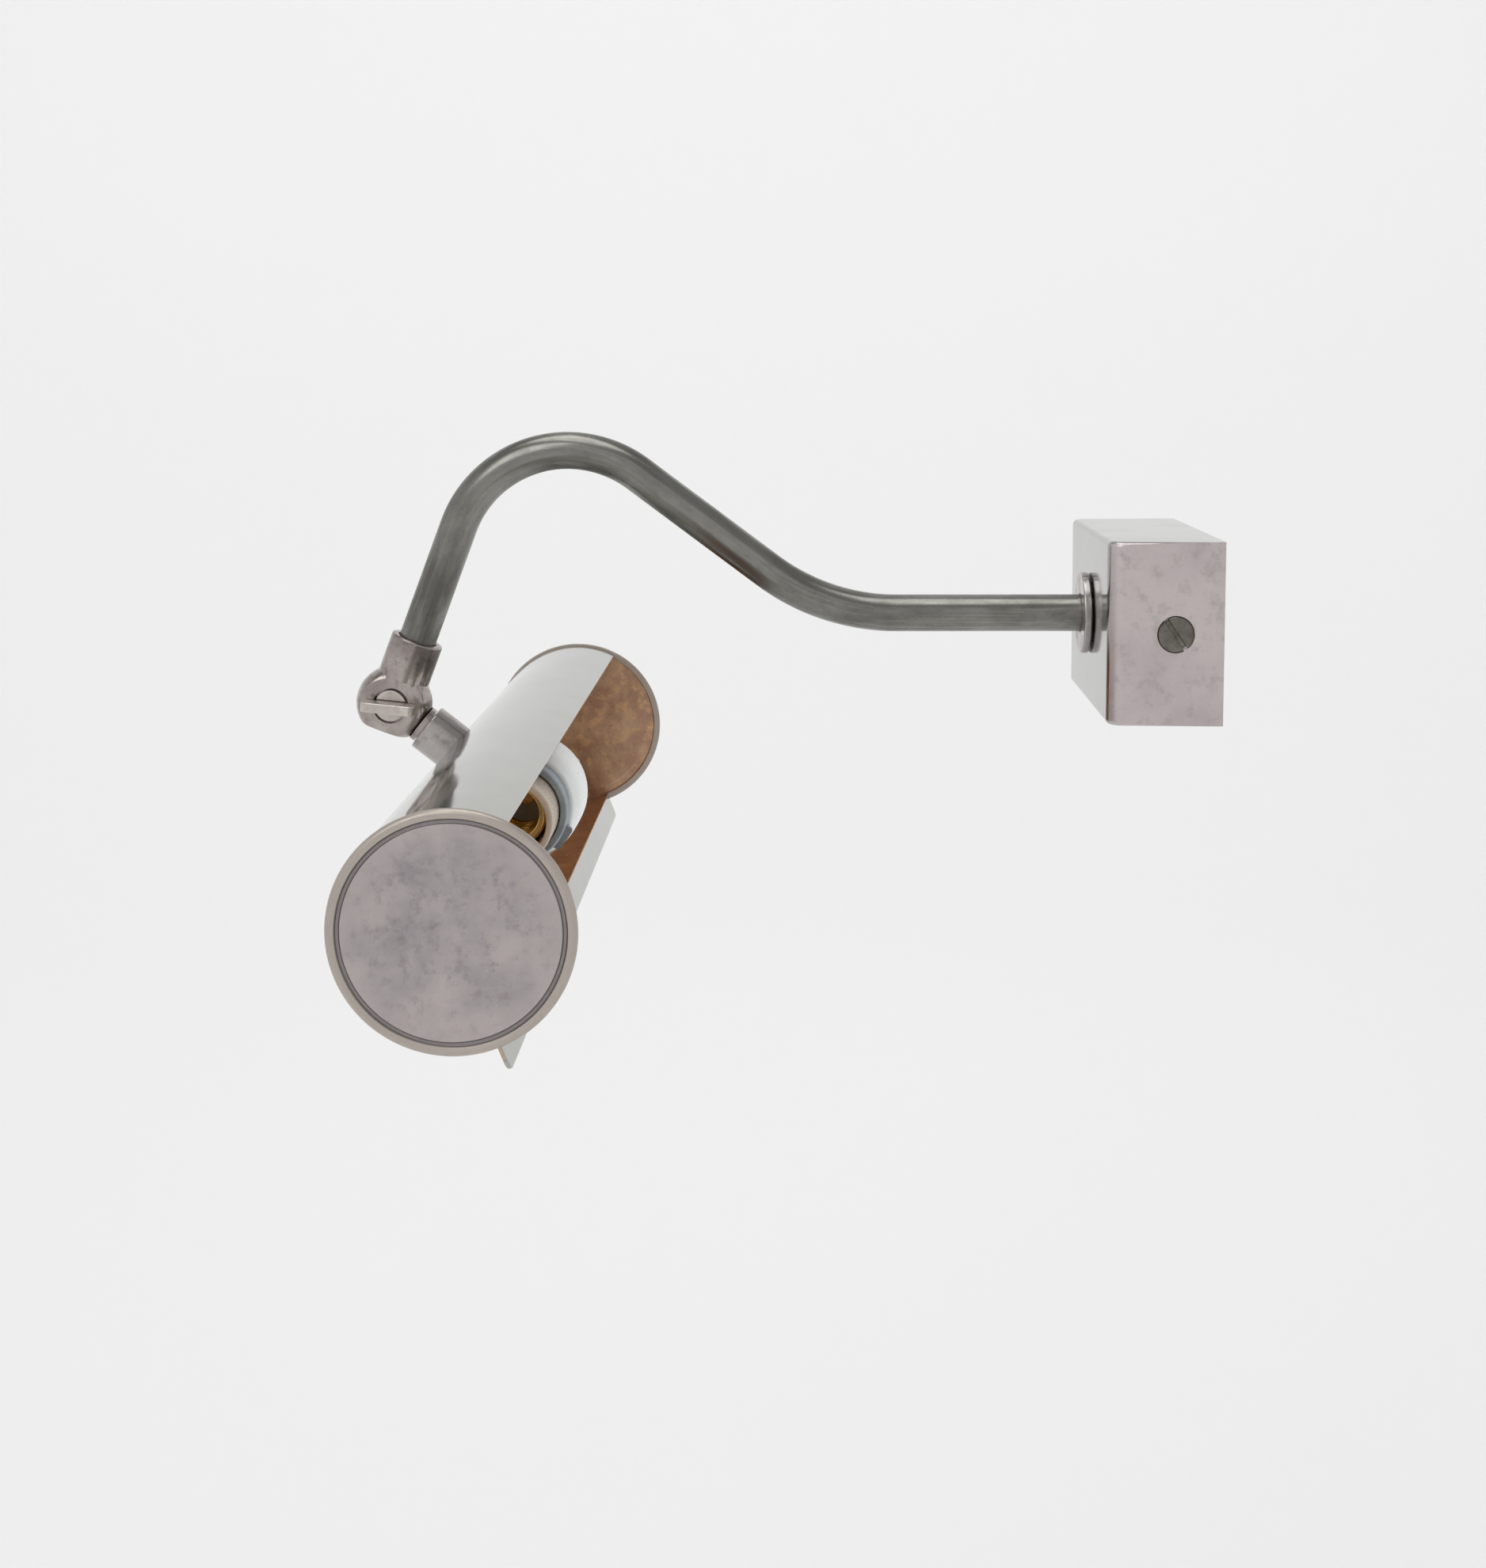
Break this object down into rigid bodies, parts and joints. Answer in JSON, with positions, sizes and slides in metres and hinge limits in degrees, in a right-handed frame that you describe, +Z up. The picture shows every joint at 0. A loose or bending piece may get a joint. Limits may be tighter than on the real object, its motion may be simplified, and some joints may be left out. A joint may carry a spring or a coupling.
{
  "type": "picture light",
  "caption": "Wall-mounted picture light: rectangular wall box, swan-neck tube arm, tilting knuckle with thumb screw, and a half-open cylindrical shade with lampholder.",
  "frame": {"origin": "centre of the wall plate's rear face, on the wall", "axes": "+X along the shade, towards the end where the lampholder's mouth and the thumb screw face; +Y into the wall; +Z up"},
  "size_m": [0.25, 0.2276, 0.1328],
  "materials": {
    "aged_nickel": "aged nickel plate on brass, mottled satin",
    "polished_nickel": "polished nickel plate on brass sheet",
    "dark_nickel": "darkened nickel plate on brass tube",
    "plain_brass": "bare brass",
    "zinc_steel": "zinc plated steel sheet",
    "grey_metal": "dull grey metal",
    "porcelain": "white glazed porcelain",
    "cream": "cream heat-resistant moulding",
    "black_plastic": "black plastic",
    "white_plastic": "white moulded plastic",
    "brown_core": "brown wire insulation",
    "blue_core": "blue wire insulation",
    "green_core": "green wire insulation"
  },
  "bodies": {
    "wall_mount": {"box_cover": "aged_nickel", "cover_screw_left": "aged_nickel", "cover_screw_right": "aged_nickel", "back_plate": "zinc_steel", "terminal_block": "white_plastic", "terminal_screw_1": "plain_brass", "terminal_screw_2": "plain_brass", "terminal_screw_3": "plain_brass", "earth_screw": "plain_brass", "earth_washer": "plain_brass", "core_live": "brown_core", "core_neutral": "blue_core", "core_earth": "green_core", "arm_collar": "dark_nickel", "arm_washer": "zinc_steel", "arm_nut": "plain_brass", "arm_bush": "black_plastic", "arm_tube": "dark_nickel", "arm_cable": "black_plastic", "knuckle_upper": "aged_nickel"},
    "thumb_screw": {"thumb_screw": "aged_nickel", "thumb_paddle": "aged_nickel"},
    "head": {"knuckle_lower": "aged_nickel", "friction_washer": "plain_brass", "shade_collar": "dark_nickel", "shade_nut": "plain_brass", "shade_tube": "polished_nickel", "end_cap_left": "aged_nickel", "end_cap_right": "aged_nickel", "holder_bracket": "zinc_steel", "holder_screw_left": "zinc_steel", "holder_screw_right": "zinc_steel", "holder_body": "porcelain", "centre_contact": "plain_brass", "shell_contact": "plain_brass", "holder_sleeve": "cream", "holder_ring": "grey_metal", "thread_shell": "plain_brass", "head_core_live": "brown_core", "head_core_neutral": "blue_core"}
  },
  "joints": [
    {"name": "knuckle_tilt", "type": "hinge", "parent": "wall_mount", "child": "head", "pos_m": [0, -0.21741, -0.02337], "axis": [1, 0, 0], "range_deg": [-110, 17]},
    {"name": "thumb_screw_turn", "type": "hinge", "parent": "wall_mount", "child": "thumb_screw", "pos_m": [0, -0.21741, -0.02337], "axis": [1, 0, 0], "range_deg": [0, 360]}
  ]
}
